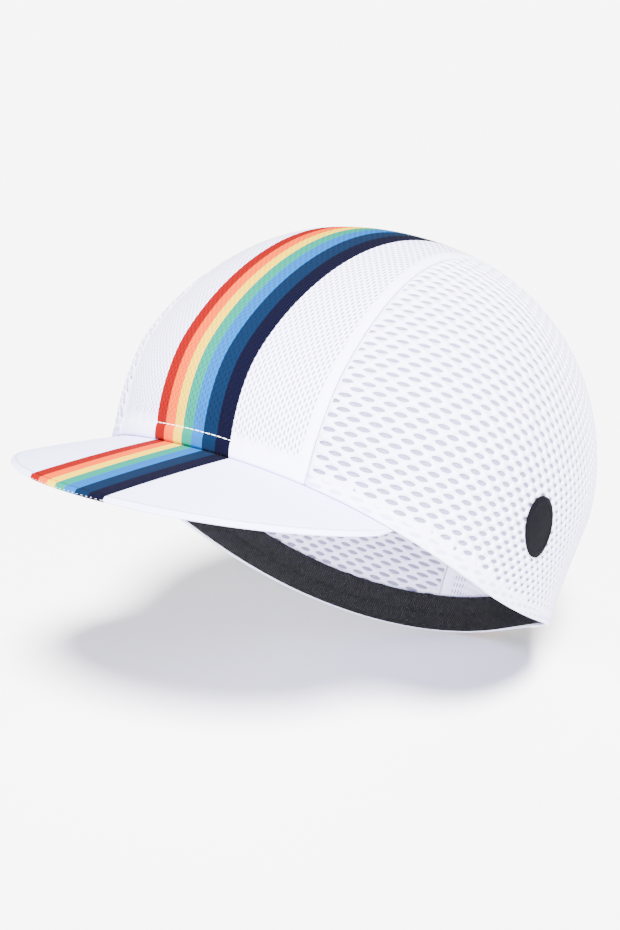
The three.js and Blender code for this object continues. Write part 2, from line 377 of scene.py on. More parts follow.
class Wire:
    """One value of a finish, which its shader maths is written with."""

    def __init__(self, finish: Finish, socket: bpy.types.NodeSocket) -> None:
        """Keep the finish that the socket belongs to."""
        self.finish = finish
        self.socket = socket

    def maths(self, operation: str, *values: Wire | float) -> Wire:
        """Add a Math node that starts from this value."""
        sockets = dict(enumerate((self, *values)))
        return self.finish.node("ShaderNodeMath", {"operation": operation}, sockets)

    def flipped(self, operation: str, value: float) -> Wire:
        """Add a Math node that starts from another value."""
        return self.finish.node("ShaderNodeMath", {"operation": operation}, {0: value, 1: self})

    def __add__(self, other: Wire | float) -> Wire:
        """Sum of two values."""
        return self.maths("ADD", other)

    __radd__ = __add__

    def __sub__(self, other: Wire | float) -> Wire:
        """Difference of two values."""
        return self.maths("SUBTRACT", other)

    def __rsub__(self, other: float) -> Wire:
        """Difference that starts from a number."""
        return self.flipped("SUBTRACT", other)

    def __mul__(self, other: Wire | float) -> Wire:
        """Product of two values."""
        return self.maths("MULTIPLY", other)

    __rmul__ = __mul__

    def __truediv__(self, other: Wire | float) -> Wire:
        """Quotient of two values."""
        return self.maths("DIVIDE", other)

    def __pow__(self, other: float) -> Wire:
        """Value raised to a power."""
        return self.maths("POWER", other)

    def floor(self) -> Wire:
        """Whole part."""
        return self.maths("FLOOR")

    def fraction(self) -> Wire:
        """Part past the whole."""
        return self.maths("FRACT")

    def wrapped(self, length: float) -> Wire:
        """Remainder, always above zero."""
        return self.maths("FLOORED_MODULO", length)

    def magnitude(self) -> Wire:
        """Size without the sign."""
        return self.maths("ABSOLUTE")

    def wave(self) -> Wire:
        """Sine of the value."""
        return self.maths("SINE")

    def step(self, low: float, high: float) -> Wire:
        """Step smoothly between two values.

        Args:
            low: Value at which the step is 0.
            high: Value at which it is 1, which may be the lesser of the two.

        Returns:
            The stepped value.
        """
        start, end = (low, high) if low < high else (high, low)
        settings = {"interpolation_type": "SMOOTHSTEP"}
        eased = self.finish.node(
            "ShaderNodeMapRange", settings, {"Value": self, "From Min": start, "From Max": end}
        )
        return eased if low < high else 1 - eased


@dataclass
class Finish:
    """Material of one cloth or trim, with the nodes that make it."""

    name: str
    roughness: float = 0.85
    sheen: float = 0.0
    specular: float = 0.02
    material: bpy.types.Material = field(init=False)
    shader: bpy.types.Node = field(init=False)

    def __post_init__(self) -> None:
        """Make the material and draw its nodes."""
        self.material = bpy.data.materials.new(self.name)
        self.material.use_nodes = True
        self.shader = self.material.node_tree.nodes["Principled BSDF"]
        self.shader.inputs["Roughness"].default_value = self.roughness
        self.shader.inputs["Sheen Weight"].default_value = self.sheen
        self.shader.inputs["Sheen Roughness"].default_value = 0.6
        self.shader.inputs["Specular IOR Level"].default_value = self.specular
        self.draw()

    def draw(self) -> None:
        """Add the finish's own nodes."""

    def node(self, kind: str, settings: dict, sockets: dict, output: int | str = 0) -> Wire:
        """Add one node.

        Args:
            kind: The node's type.
            settings: Its settings, set before its sockets. A ramp takes its stops here.
            sockets: A value or a wire for each of its sockets, by name or number.
            output: Which of its outputs to give back.

        Returns:
            The wire of that output.
        """
        made = self.material.node_tree.nodes.new(kind)
        for key, value in settings.items():
            if key == "stops":
                self.set_stops(made.color_ramp, value)
            else:
                setattr(made, key, value)
        for key, value in sockets.items():
            if isinstance(value, Wire):
                self.material.node_tree.links.new(value.socket, made.inputs[key])
            else:
                made.inputs[key].default_value = value
        return Wire(self, made.outputs[output])

    @staticmethod
    def set_stops(ramp: bpy.types.ColorRamp, stops: list[tuple[float, tuple]]) -> None:
        """Give a ramp hard stops.

        Args:
            ramp: The ramp.
            stops: A place and a colour for each stop.
        """
        ramp.interpolation = "CONSTANT"
        while len(ramp.elements) > 1:
            ramp.elements.remove(ramp.elements[-1])
        ramp.elements[0].position, ramp.elements[0].color = stops[0]
        for place, colour in stops[1:]:
            ramp.elements.new(place).color = colour

    def blend(self, factor: Wire | float, first: Wire | tuple, second: Wire | tuple) -> Wire:
        """Mix two colours by a factor."""
        sockets = {0: factor, 6: first, 7: second}
        return self.node("ShaderNodeMix", {"data_type": "RGBA"}, sockets, 2)

    def darken(self, colour: Wire | tuple, factor: Wire, shade: tuple) -> Wire:
        """Multiply a colour by a shade, as far as a factor says."""
        settings = {"data_type": "RGBA", "blend_type": "MULTIPLY"}
        return self.node("ShaderNodeMix", settings, {0: factor, 6: colour, 7: shade}, 2)

    def marks(self, name: str) -> tuple[Wire, Wire, Wire]:
        """Read what the mesh keeps at each point.

        Args:
            name: Name that the three values are kept under.

        Returns:
            A wire for each of the three.
        """
        vector = self.node("ShaderNodeAttribute", {"attribute_name": name}, {}, "Vector")
        parts = [self.node("ShaderNodeSeparateXYZ", {}, {0: vector}, axis) for axis in range(3)]
        return parts[0], parts[1], parts[2]

    def noise(self, scale: float, detail: float = 2.0) -> Wire:
        """Noise through the object, its scale in turns a metre."""
        place = self.node("ShaderNodeTexCoord", {}, {}, "Object")
        return self.node("ShaderNodeTexNoise", {}, {"Vector": place, "Scale": scale, "Detail": detail})

    def wear(self, colour: Wire | tuple, relief: Wire, depth: float) -> None:
        """Set the colour and the relief.

        Args:
            colour: What the surface shows.
            relief: Height from 0 to 1.
            depth: Millimetres that the relief spans.
        """
        links = self.material.node_tree.links
        if isinstance(colour, Wire):
            links.new(colour.socket, self.shader.inputs["Base Color"])
        else:
            self.shader.inputs["Base Color"].default_value = colour
        bump = self.node("ShaderNodeBump", {}, {"Height": relief, "Distance": depth * METRES})
        links.new(bump.socket, self.shader.inputs["Normal"])


WHITE = tint(0.76, 0.75, 0.97)
SHADE = tint(0.4, 0.39, 0.62)


@dataclass
class Stripe:
    """Printed stripe of seven colours, from the wearer's right to the left."""

    half_width: float = 18.3
    margin: float = 4.0
    places: tuple[float, ...] = (0.0, 0.15, 0.29, 0.41, 0.545, 0.685, 0.84)
    colours: tuple[tuple[float, float, float], ...] = (
        (0.155, 0.0, 0.0),
        (0.54, 0.052, 0.0),
        (0.57, 0.36, 0.0),
        (0.0, 0.135, 0.09),
        (0.0, 0.066, 0.23),
        (0.001, 0.0075, 0.024),
        (0.001, 0.001, 0.007),
    )

    def over(self, finish: Finish, across: Wire, cloth: tuple) -> Wire:
        """Paint the stripe over a cloth.

        Args:
            finish: The finish that is painted.
            across: Millimetres from the middle of the cap.
            cloth: Colour of the cloth beside the stripe.

        Returns:
            The painted colour.
        """
        reach = self.half_width + self.margin
        start = self.margin / (2 * reach)
        stops = [(0.0, cloth)]
        for place, colour in zip(self.places, self.colours):
            stops.append((start + place * self.half_width / reach, tint(*colour)))
        stops.append((1 - start, cloth))
        place = (across + reach) / (2 * reach)
        return finish.node("ShaderNodeValToRGB", {"stops": stops}, {0: place})


@dataclass
class PinholeKnit(Finish):
    """White knit with staggered upright pinholes, painted dark as painted shade, and the printed stripe."""

    column: float = 1.2
    pitch: float = 2.7
    hole_half_width: float = 0.27
    hole_half_length: float = 0.9
    stripe: Stripe = field(default_factory=Stripe)

    def draw(self) -> None:
        """Pinholes away from the seams and hems, with painted shade in them, fine ribs, and the stripe."""
        across, along, middle = self.marks("cloth")
        seam, front, back = self.marks("edges")
        outer, _, _ = self.marks("face")
        place = across / self.column
        stagger = place.floor().wrapped(2.0) * (self.pitch / 2)
        aside = (place.fraction() - 0.5) * (self.column / self.hole_half_width)
        ahead = (((along + stagger) / self.pitch).fraction() - 0.5) * (self.pitch / self.hole_half_length)
        hole = (aside**2.0 + ahead.magnitude() ** 2.4).step(1.5, 0.45)
        open_cloth = seam.step(3.0, 4.4) * front.step(6.2, 9.5) * back.step(5.0, 7.0)
        hole = hole * open_cloth
        printed = self.blend(outer.step(0.5, 0.9), WHITE, self.stripe.over(self, middle, WHITE))
        tone = self.noise(240.0)
        striped = middle.magnitude().step(self.stripe.half_width + 0.2, self.stripe.half_width - 0.2)
        # Painted shade: each pinhole is painted darker, less so on the stripe, for the shade seen through it.
        depth = hole * (0.75 + 0.25 * tone) * (1 - 0.6 * striped)
        colour = self.darken(printed, depth, tint(0.2, 0.19, 0.31))
        colour = self.darken(colour, self.noise(26.0) * 0.12, SHADE)
        rib = (place * (2 * math.pi)).wave() * 0.08
        stitchwork = (along * (2 * math.pi / 0.45)).wave() * 0.05
        self.wear(colour, 0.8 - hole * 0.7 + rib + stitchwork, 0.3)


@dataclass(frozen=True)
class Lattice:
    """Staggered rows of oval eyelets, in millimetres."""

    pitch: float = 7.0
    row: float = 2.6
    half_length: float = 2.3
    half_width: float = 0.86

    def centres(self, reach: float) -> np.ndarray:
        """Find the middles of the eyelets.

        Args:
            reach: How far the cloth goes from its middle.

        Returns:
            One row of two places for each eyelet.
        """
        rows = int(reach / self.row) + 1
        columns = int(reach / self.pitch) + 1
        spots = [
            ((column + 0.5 * (line % 2)) * self.pitch, line * self.row)
            for line in range(-rows, rows + 1)
            for column in range(-columns, columns + 1)
        ]
        return np.array(spots)

    def ghost(self, along: Wire, up: Wire) -> Wire:
        """Draw the eyelets as a mask.

        Args:
            along: Millimetres along the rows.
            up: Millimetres across the rows.

        Returns:
            1 inside an eyelet and 0 outside, softly.
        """
        line = (up / self.row + 0.5).floor()
        stagger = line.wrapped(2.0) * (self.pitch / 2)
        aside = (((along - stagger) / self.pitch + 0.5).fraction() - 0.5) * (self.pitch / self.half_length)
        above = (up - line * self.row) / self.half_width
        return (aside**2.0 + above**2.0).step(1.25, 0.7)


@dataclass
class EyeletKnit(Finish):
    """White knit between the eyelets, with faint eyelets painted in as painted shade where the hem doubles
    it.
    """

    lattice: Lattice = field(default_factory=Lattice)
    hem: float = 4.5

    def draw(self) -> None:
        """Fine loops, a soft tone, and the hem's faint eyelets as painted shade."""
        along, up, rim = self.marks("cloth")
        doubled = rim.step(self.hem + 0.5, self.hem - 0.3) * rim.step(0.4, 1.4)
        faint = self.lattice.ghost(along, up) * doubled
        loops = (along * (2 * math.pi / 0.62)).wave() * (up * (2 * math.pi / 0.52)).wave()
        colour = self.darken(WHITE, self.noise(30.0) * 0.14, SHADE)
        colour = self.darken(colour, loops.magnitude() * 0.08, SHADE)
        # Painted shade: the hem's shallow eyelets are painted darker.
        colour = self.darken(colour, faint * 0.5, tint(0.4, 0.39, 0.56))
        self.wear(colour, 0.5 + loops * 0.3 - faint * 0.25, 0.16)


@dataclass
class Backing(Finish):
    """Grey net that shows through the eyelets; its colour is partly its own pale grey and partly painted
    shade of the eyelets.
    """

    def draw(self) -> None:
        """Fine net with a mottled tone, darkened as painted shade of the eyelets."""
        along, up, _ = self.marks("cloth")
        net = (along * (2 * math.pi / 0.5)).wave() * (up * (2 * math.pi / 0.5)).wave()
        # Partly painted shade: the net is painted darker than its own grey, for the shade inside the eyelets.
        colour = self.blend(self.noise(900.0, 3.0), tint(0.14, 0.132, 0.22), tint(0.24, 0.23, 0.34))
        self.wear(colour, 0.5 + net * 0.4, 0.1)


@dataclass
class PeakKnit(Finish):
    """Close white knit of fine upright lines, with the printed stripe."""

    line: float = 0.62
    stripe: Stripe = field(default_factory=Stripe)

    def draw(self) -> None:
        """Fine lines, a pressed edge with painted shade in its groove, and the stripe."""
        across, along, edge = self.marks("cloth")
        lines = (across * (2 * math.pi / self.line)).wave()
        loops = (along * (2 * math.pi / 0.9)).wave()
        printed = self.stripe.over(self, across, tint(0.67, 0.67, 0.97))
        pressed = (edge - 2.1).magnitude().step(0.42, 0.1)
        colour = self.darken(printed, (0.5 + 0.5 * lines) * 0.09, SHADE)
        # Painted shade: the pressed groove along the edge is painted darker.
        colour = self.darken(colour, pressed * 0.6, tint(0.36, 0.37, 0.5))
        self.wear(colour, 0.6 + lines * 0.2 + loops * 0.08 - pressed * 0.5, 0.14)


@dataclass
class Elastic(Finish):
    """Black elastic with close upright ribs."""

    rib: float = 0.85

    def draw(self) -> None:
        """Ribs across the band, and a random tone that is lighter on the rib crests and darker between them.
        """
        along, up, _ = self.marks("cloth")
        ribs = (along * (2 * math.pi / self.rib)).wave()
        weave = (up * (2 * math.pi / 0.7)).wave()
        # Random tone times the rib wave: lighter along the rib crests, darker between them.
        rib_tone = self.noise(700.0, 3.0) * (0.6 + 0.4 * ribs)
        colour = self.blend(rib_tone, tint(0.004, 0.004, 0.0046), tint(0.024, 0.024, 0.027))
        self.wear(colour, 0.5 + ribs * 0.35 + weave * 0.12, 0.22)


@dataclass
class Patch(Finish):
    """Black pressed film, a little uneven from the cloth under it."""

    def draw(self) -> None:
        """Faint print of the knit below."""
        grain = self.noise(2600.0, 2.0)
        colour = self.blend(self.noise(420.0), tint(0.0018, 0.0018, 0.0028), tint(0.0036, 0.0035, 0.005))
        self.wear(colour, grain, 0.05)


@dataclass
class Thread(Finish):
    """White twisted sewing thread."""

    def draw(self) -> None:
        """Twist and a soft tone."""
        colour = self.darken(tint(0.96, 0.96, 0.98), self.noise(800.0) * 0.2, SHADE)
        self.wear(colour, self.noise(3200.0), 0.06)


@dataclass
class StudioFloor(Finish):
    """Pale paper."""

    def draw(self) -> None:
        """Even paper with a very fine grain."""
        colour = self.blend(self.noise(40.0) * 0.2, tint(0.98, 0.98, 0.98), tint(0.95, 0.95, 0.955))
        self.wear(colour, self.noise(900.0), 0.01)


# Meshes


@dataclass
class Sheet:
    """Points and faces of one piece, with the marks that its finish reads."""

    points: np.ndarray
    faces: list[tuple[int, ...]]
    marks: dict[str, np.ndarray]

    def build(self, name: str, finish: Finish, replaces: tuple[str, ...], slot: str) -> bpy.types.Object:
        """Make the piece.

        Args:
            name: Name of the piece.
            finish: What it is dressed in.
            replaces: Nodes that it stands for.
            slot: Not used.

        Returns:
            The new object, riding on the part.
        """
        mesh = bpy.data.meshes.new(name)
        mesh.from_pydata(self.points.reshape(-1, 3).tolist(), [], self.faces)
        for mark, values in self.marks.items():
            layer = mesh.attributes.new(mark, "FLOAT_VECTOR", "POINT")
            layer.data.foreach_set("vector", np.asarray(values, np.float32).reshape(-1))
        work = bmesh.new()
        work.from_mesh(mesh)
        bmesh.ops.recalc_face_normals(work, faces=work.faces)
        work.to_mesh(mesh)
        work.free()
        mesh.polygons.foreach_set("use_smooth", [True] * len(mesh.polygons))
        mesh.materials.append(finish.material)
        piece = bpy.data.objects.new(name, mesh)
        bpy.context.scene.collection.objects.link(piece)
        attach(piece, "root")
        if replaces:
            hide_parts(*replaces)
        log.info("%s: %d points, %d faces", name, len(mesh.vertices), len(mesh.polygons))
        return piece


def between_grids(outer: np.ndarray, inner: np.ndarray, ring: bool = False) -> tuple[np.ndarray, list]:
    """Close the space between two grids of points.

    Args:
        outer: Grid of points of the outer face.
        inner: Grid of points of the inner face.
        ring: Whether the rows run on round into the first.

    Returns:
        All the points, and the faces.
    """
    rows, columns = outer.shape[:2]
    count = rows * columns
    last = rows if ring else rows - 1
    faces: list[tuple[int, ...]] = []
    for row in range(last):
        after = (row + 1) % rows
        for column in range(columns - 1):
            corners = [row * columns + column, row * columns + column + 1]
            corners += [after * columns + column + 1, after * columns + column]
            faces.append(tuple(corners))
            faces.append(tuple(corner + count for corner in reversed(corners)))
        for column in (0, columns - 1):
            here, there = row * columns + column, after * columns + column
            faces.append((here, there, there + count, here + count))
    if not ring:
        for row in (0, rows - 1):
            for column in range(columns - 1):
                here = row * columns + column
                faces.append((here, here + 1, here + 1 + count, here + count))
    return np.concatenate([outer.reshape(-1, 3), inner.reshape(-1, 3)]), faces


def running_length(grid: np.ndarray, axis: int) -> np.ndarray:
    """Measure along a grid of points.

    Args:
        grid: Grid of points.
        axis: 0 to measure down the rows, 1 along the columns.

    Returns:
        Length at each point from the first of its line.
    """
    steps = np.linalg.norm(np.diff(grid, axis=axis), axis=-1)
    first = np.zeros_like(np.take(steps, [0], axis=axis))
    return np.cumsum(np.concatenate([first, steps], axis=axis), axis=axis)


@dataclass
class Stitching:
    """Row of sewing stitches along a line."""

    crown: Crown
    length: float = 2.0
    gap: float = 0.7
    half_width: float = 0.2
    rings: int = 5
    sides: int = 6

    def sew(self, line: np.ndarray, facing: np.ndarray) -> Sheet:
        """Lay stitches on a line.

        Args:
            line: Points of the line, in millimetres.
            facing: Outward direction at each of them.

        Returns:
            The stitches as one sheet of points and faces.
        """
        along = np.concatenate([[0.0], np.cumsum(np.linalg.norm(np.diff(line, axis=0), axis=1))])
        middles = np.arange(self.length, along[-1] - self.length, self.length + self.gap)
        points: list[np.ndarray] = []
        faces: list[tuple[int, ...]] = []
        for middle in middles:
            spot = self.at(middle, along, line)
            ahead = self.at(middle + 0.4, along, line) - self.at(middle - 0.4, along, line)
            ahead /= np.linalg.norm(ahead)
            up = self.at(middle, along, facing)
            up -= ahead * (up @ ahead)
            up /= np.linalg.norm(up)
            aside = np.cross(ahead, up)
            start = len(points)
            for ring in range(self.rings):
                turn = math.pi * (ring + 0.6) / (self.rings + 0.2)
                radius = self.half_width * math.sin(turn) ** 0.6
                for side in range(self.sides):
                    way = 2 * math.pi * side / self.sides
                    point = spot - ahead * (self.length / 2 * math.cos(turn))
                    points.append(point + radius * (up * math.sin(way) + aside * math.cos(way)))
            for ring in range(self.rings - 1):
                for side in range(self.sides):
                    here, there = start + ring * self.sides, start + (ring + 1) * self.sides
                    after = (side + 1) % self.sides
                    faces.append((here + side, here + after, there + after, there + side))
            faces.append(tuple(range(start, start + self.sides)))
            end = start + (self.rings - 1) * self.sides
            faces.append(tuple(range(end + self.sides - 1, end - 1, -1)))
        return Sheet(self.crown.place(np.array(points)), faces, {})

    @staticmethod
    def at(place: float, along: np.ndarray, values: np.ndarray) -> np.ndarray:
        """Value of a line at a length along it."""
        return np.array([np.interp(place, along, values[:, axis]) for axis in range(3)])


@dataclass
class CentrePanel:
    """Strip of pinhole mesh from the front rim over the top to the back rim."""

    crown: Crown
    rows: int = 300
    columns: int = 97
    play: float = 0.15
    cloth: float = 1.2
    hem: float = 1.8
    front_hem: float = 5.6
    back_hem: float = 4.5
    roll: float = 0.55
    dip: float = 0.3
    fold: float = 0.3
    gather: float = 0.12
    tuck: float = 0.25
    drape: float = 0.22

    def lines(self) -> np.ndarray:
        """Lay out the panel's outer surface.

        Returns:
            Grid of points, from the front rim to the back one.
        """
        share = np.linspace(-1.0, 1.0, self.columns)
        front = self.crown.rim_point(self.crown.rim_angle(share, -self.play, False))
        back = self.crown.rim_point(self.crown.rim_angle(share, -self.play, True))
        start, end = self.crown.turn_of(front), self.crown.turn_of(back)
        place = np.linspace(0.0, 1.0, self.rows)[:, None]
        grid = self.crown.line_point(share[None, :], -self.play, start + (end - start) * place)
        grid[0], grid[-1] = front, back
        return grid

    def relief(self, across: np.ndarray, seam: np.ndarray, front: np.ndarray, back: np.ndarray) -> np.ndarray:
        """Find how far the cloth stands out or dips.

        Args:
            across: Millimetres from the middle.
            seam: Millimetres from the side seam.
            front: Millimetres from the front rim.
            back: Millimetres from the back rim.

        Returns:
            Millimetres out from the plain surface.
        """
        rolled = -self.roll * bell(seam, 0.0, 0.7) + 0.12 * bell(seam, 2.2, 1.2)
        sewn = -self.dip * bell(front, self.front_hem, 0.8)
        doubled = self.fold * smooth(front, self.front_hem, self.front_hem - 1.2) * smooth(front, -0.3, 1.2)
        gather = self.gather * bell(front, 7.5, 3.5)
        pucker = gather * np.sin(across * 0.9 + 1.3 * np.sin(across * 0.23))
        tuck = self.tuck * smooth(back, self.back_hem + 0.4, self.back_hem - 0.8)
        drape = self.drape * np.sin(across * 0.085 + 0.7) * np.sin(front * 0.047 + 0.4)
        drape = drape * smooth(seam, 0.0, 8.0) * smooth(front, 6.0, 30.0)
        return rolled + sewn + doubled + pucker + tuck + drape

    def build(self, finish: Finish, thread: Finish) -> None:
        """Make the panel and its topstitching.

        Args:
            finish: The knit.
            thread: The sewing thread.
        """
        grid = self.lines()
        middle = self.columns // 2
        across = running_length(grid, 1)
        across = across - across[:, middle : middle + 1]
        along = running_length(grid, 0)
        seam = across[:, -1:] * (across >= 0) - across[:, :1] * (across < 0) - np.abs(across)
        back = along[-1:] - along
        facing = self.crown.outward(grid)
        outer = grid + facing * self.relief(across, seam, along, back)[..., None]
        in_front = smooth(along, self.front_hem + 0.4, self.front_hem - 0.4)
        behind = smooth(back, self.back_hem + 0.4, self.back_hem - 0.4)
        thick = self.cloth + (self.hem - self.cloth) * np.maximum(in_front, behind)
        points, faces = between_grids(outer, grid - facing * thick[..., None])
        cloth = np.stack([across, along, grid[..., 0]], axis=-1).reshape(-1, 3)
        edges = np.stack([seam, along, back], axis=-1).reshape(-1, 3)
        face = np.concatenate([np.ones_like(cloth), np.zeros_like(cloth)])
        marks = {
            "cloth": np.concatenate([cloth, cloth]),
            "edges": np.concatenate([edges, edges]),
            "face": face,
        }
        panel = Sheet(self.crown.place(points), faces, marks)
        panel.build("centre_cloth", finish, ("centre_panel",), "pinhole_mesh")
        spots = [int(np.argmin(np.abs(along[:, column] - self.front_hem))) for column in range(self.columns)]
        picks = range(2, self.columns - 2)
        line = np.array([outer[spots[column], column] for column in picks])
        normals = np.array([facing[spots[column], column] for column in picks])
        sewn = Stitching(self.crown, length=2.2, gap=0.3, half_width=0.14).sew(line + normals * 0.08, normals)
        sewn.build("front_topstitch", thread, (), "pinhole_mesh")


@dataclass
class EyeletPanel:
    """Side panel: knit pierced with eyelets over a pale net, hemmed along the rim."""

    crown: Crown
    side: int
    lattice: Lattice = field(default_factory=Lattice)
    play: float = 0.15
    thickness: float = 1.1
    net_faces: tuple[float, float] = (0.68, 0.56)
    hem: float = 4.5
    hem_extra: float = 0.5
    hem_rows: tuple[float, ...] = (0.7, 1.8, 2.9, 4.0, 4.5, 5.0)
    roll: float = 0.55
    dip: float = 0.28
    fold: float = 0.28
    grain: float = 4.2
    sphere: float = 88.0
    seam_margin: float = 0.5
    eyelet_sides: int = 14
    border_points: int = 481
    reach: float = 150.0
    centre: tuple[float, float, float] = (0.0, 8.0, 18.0)

    def word(self) -> str:
        """Name of the side."""
        return "left" if self.side > 0 else "right"

    def flat_of(self, points: np.ndarray) -> np.ndarray:
        """Lay points of the panel out flat.

        Args:
            points: Points on the crown.

        Returns:
            Flat places along and across the cloth's grain.
        """
        ways = points - np.array(self.centre)
        ways = ways / np.linalg.norm(ways, axis=-1, keepdims=True)
        turn = np.arccos(np.clip(ways[..., 0] * self.side, -1.0, 1.0))
        scale = self.sphere * turn / np.maximum(np.sin(turn), 1e-9)
        cos, sin = math.cos(math.radians(self.grain)), math.sin(math.radians(self.grain))
        along = ways[..., 1] * cos + ways[..., 2] * sin
        up = ways[..., 2] * cos - ways[..., 1] * sin
        return np.stack([along * scale, up * scale], axis=-1)

    def crown_point(self, flat: np.ndarray) -> np.ndarray:
        """Put flat places back on the crown.

        Args:
            flat: Flat places along and across the cloth's grain.

        Returns:
            Points on the crown.
        """
        reach = np.hypot(flat[:, 0], flat[:, 1])
        turn = reach / self.sphere
        unit = flat / np.maximum(reach, 1e-9)[:, None] * np.sin(turn)[:, None]
        cos, sin = math.cos(math.radians(self.grain)), math.sin(math.radians(self.grain))
        ways = np.stack(
            [
                np.cos(turn) * self.side,
                unit[:, 0] * cos - unit[:, 1] * sin,
                unit[:, 0] * sin + unit[:, 1] * cos,
            ],
            axis=-1,
        )
        return self.crown.ray_point(np.array(self.centre), ways)

    def borders(self) -> tuple[np.ndarray, np.ndarray]:
        """Lay the panel's borders out flat.

        Returns:
            The rim's line and the seam's, both from the front to the back.
        """
        side = np.array(float(self.side))
        first = float(self.crown.rim_angle(side, self.play, False))
        last = float(self.crown.rim_angle(side, self.play, True))
        rim = self.crown.rim_point(np.linspace(first, last, self.border_points))
        turns = self.crown.turn_of(self.crown.rim_point(np.array([first, last])))
        seam = self.crown.line_point(side, self.play, np.linspace(turns[0], turns[1], self.border_points))
        seam[0], seam[-1] = rim[0], rim[-1]
        return self.flat_of(rim), self.flat_of(seam)

    def distance(
        self, flat: np.ndarray, border: np.ndarray, inner: np.ndarray
    ) -> tuple[np.ndarray, np.ndarray]:
        """Measure from a border.

        Args:
            flat: Flat places.
            border: Points of the border.
            inner: A place well inside the panel.

        Returns:
            Millimetres in from the border, and the inward direction there.
        """
        ahead = np.gradient(border, axis=0)
        normal = np.stack([-ahead[:, 1], ahead[:, 0]], axis=-1)
        normal /= np.linalg.norm(normal, axis=1, keepdims=True)
        normal *= np.sign(np.sum(normal * (inner - border), axis=1, keepdims=True))
        nearest = np.concatenate(
            [
                np.argmin(np.sum((part[:, None, :] - border[None]) ** 2, axis=2), axis=1)
                for part in np.array_split(flat, max(1, len(flat) // 2000))
            ]
        )
        gap = flat - border[nearest]
        return np.sum(gap * normal[nearest], axis=1), normal[nearest]

    def eyelets(self, rim: np.ndarray, seam: np.ndarray, inner: np.ndarray) -> list[np.ndarray]:
        """Lay out the eyelets, trimmed where they would cross the seam or the hem.

        Args:
            rim: Flat points of the rim.
            seam: Flat points of the seam.
            inner: A place well inside the panel.

        Returns:
            The outline of each eyelet.
        """
        middles = self.lattice.centres(self.reach)
        from_seam, _ = self.distance(middles, seam, inner)
        from_rim, _ = self.distance(middles, rim, inner)
        middles = middles[(from_seam > 0.1) & (from_rim > self.hem + 0.5)]
        turn = np.linspace(0.0, 2 * math.pi, self.eyelet_sides, endpoint=False)
        shape = np.stack(
            [
                self.lattice.half_length * np.cos(turn),
                self.lattice.half_width * np.sin(turn) * np.abs(np.sin(turn)) ** 0.18,
            ],
            axis=-1,
        )
        rings = middles[:, None, :] + shape[None]
        flat = rings.reshape(-1, 2)
        for border, margin in ((seam, self.seam_margin), (rim, self.hem + 0.3)):
            gap, normal = self.distance(flat, border, inner)
            flat = flat + normal * np.maximum(0.0, margin - gap)[:, None]
        rings = flat.reshape(rings.shape)
        ahead = np.roll(rings, -1, axis=1)
        area = 0.5 * np.sum(rings[..., 0] * ahead[..., 1] - rings[..., 1] * ahead[..., 0], axis=1)
        from_seam, _ = self.distance(flat, seam, inner)
        from_rim, _ = self.distance(flat, rim, inner)
        clear = (from_seam > self.seam_margin - 0.15) & (from_rim > self.hem)
        sound = (area > 1.1) & np.all(clear.reshape(rings.shape[:2]), axis=1)
        hulls = [ring[convex_hull_2d([Vector(point) for point in ring])] for ring in rings[sound]]
        return [self.thinned(hull) for hull in hulls]

    @staticmethod
    def thinned(ring: np.ndarray) -> np.ndarray:
        """Leave out points of an outline that fall together.

        Args:
            ring: Points of the outline.

        Returns:
            The points that are kept.
        """
        kept = [ring[0]]
        for point in ring[1:]:
            if np.linalg.norm(point - kept[-1]) > 0.06 and np.linalg.norm(point - ring[0]) > 0.06:
                kept.append(point)
        return np.array(kept)

    @staticmethod
    def is_cloth(
        face: list[int], ring_of: np.ndarray, fills: int, made: list[Vector], outline: np.ndarray
    ) -> bool:
        """Tell a triangle of cloth from one in an eyelet or past the outline.

        Args:
            face: The triangle's corners.
            ring_of: Number of the ring that each corner is from: 0 is the outline.
            fills: Number that stands for points between the rings.
            made: Flat places of the corners.
            outline: Points of the outline.

        Returns:
            Whether the triangle is cloth.
        """
        rings = {int(ring_of[corner]) for corner in face}
        if len(rings) > 1:
            return True
        if rings != {0}:
            return rings == {fills}
        across, up = sum((made[corner] for corner in face), Vector((0.0, 0.0))) / 3
        ahead = np.roll(outline, -1, axis=0)
        spans = (outline[:, 1] > up) != (ahead[:, 1] > up)
        rise = np.where(spans, ahead[:, 1] - outline[:, 1], 1.0)
        crossing = outline[:, 0] + (up - outline[:, 1]) * (ahead[:, 0] - outline[:, 0]) / rise
        return bool(np.sum(spans & (crossing > across)) % 2)

